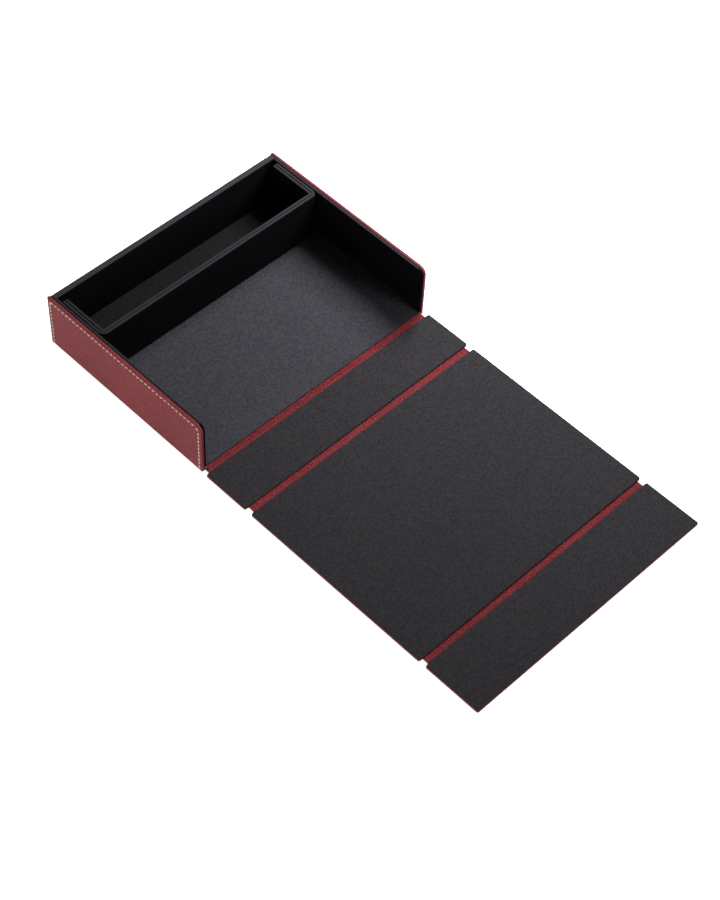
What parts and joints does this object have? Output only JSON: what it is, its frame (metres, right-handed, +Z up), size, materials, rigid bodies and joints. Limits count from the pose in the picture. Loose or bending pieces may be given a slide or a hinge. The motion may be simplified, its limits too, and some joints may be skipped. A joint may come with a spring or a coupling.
{
  "type": "dice storage chest",
  "caption": "Flat leatherette dice chest that unfolds into a rolling tray, with a loose storage insert and a folding magnetic cover.",
  "frame": {"origin": "middle of the tray's underside, on the surface it rests on", "axes": "+X to the tray's right, +Y from the open cover to the back wall, +Z up"},
  "size_m": [0.2, 0.3904, 0.0432],
  "materials": {
    "red_leather": "satin pebbled leatherette",
    "hinge_lining": "satin ribbed leatherette",
    "floor_microfibre": "matte brushed microfibre",
    "insert_floor_microfibre": "matte brushed microfibre",
    "cover_microfibre": "matte brushed microfibre",
    "wall_fabric": "matte microfibre",
    "greyboard": "matte pressed greyboard",
    "magnet": "nickel-plated disc"
  },
  "bodies": {
    "tray": {"base_leather": "red_leather", "base_board": "greyboard", "tray_floor_board": "greyboard", "tray_floor_lining": "floor_microfibre", "left_wall_board": "greyboard", "left_wall_fabric": "wall_fabric", "right_wall_board": "greyboard", "right_wall_fabric": "wall_fabric", "back_wall_board": "greyboard", "back_wall_fabric": "wall_fabric", "back_wall_magnets": "magnet", "left_side_board": "greyboard", "left_side_leather": "red_leather", "right_side_board": "greyboard", "right_side_leather": "red_leather", "front_hinge_leather": "red_leather", "front_hinge_lining": "hinge_lining"},
    "front_panel": {"front_panel_leather": "red_leather", "front_panel_board": "greyboard", "front_panel_liner_card": "greyboard", "front_panel_liner_fabric": "cover_microfibre", "lid_hinge_leather": "red_leather", "lid_hinge_lining": "hinge_lining"},
    "lid": {"lid_leather": "red_leather", "lid_board": "greyboard", "lid_liner_card": "greyboard", "lid_liner_fabric": "cover_microfibre", "flap_hinge_leather": "red_leather", "flap_hinge_lining": "hinge_lining"},
    "flap": {"flap_leather": "red_leather", "flap_board": "greyboard", "flap_liner_card": "greyboard", "flap_liner_fabric": "cover_microfibre", "flap_magnets": "magnet"},
    "insert": {"insert_outer_board": "greyboard", "insert_outer_fabric": "wall_fabric", "insert_inner_board": "greyboard", "insert_inner_fabric": "wall_fabric", "insert_floor_board": "greyboard", "insert_floor_lining": "insert_floor_microfibre"}
  },
  "joints": [
    {"name": "front_fold", "type": "hinge", "parent": "tray", "child": "front_panel", "pos_m": [0, -0.07589, 0.00081], "axis": [-1, 0, 0], "range_deg": [0, 90], "deforming": ["front_hinge_leather", "front_hinge_lining"]},
    {"name": "lid_fold", "type": "hinge", "parent": "front_panel", "child": "lid", "pos_m": [0, -0.11976, 0.00072], "axis": [-1, 0, 0], "range_deg": [0, 90], "deforming": ["lid_hinge_leather", "lid_hinge_lining"]},
    {"name": "flap_fold", "type": "hinge", "parent": "lid", "child": "flap", "pos_m": [0, -0.27165, 0.0008], "axis": [-1, 0, 0], "range_deg": [0, 90], "deforming": ["flap_hinge_leather", "flap_hinge_lining"]},
    {"name": "insert_slide", "type": "slide", "parent": "tray", "child": "insert", "axis": [0, -1, 0], "range_m": [0, 0.098]}
  ]
}
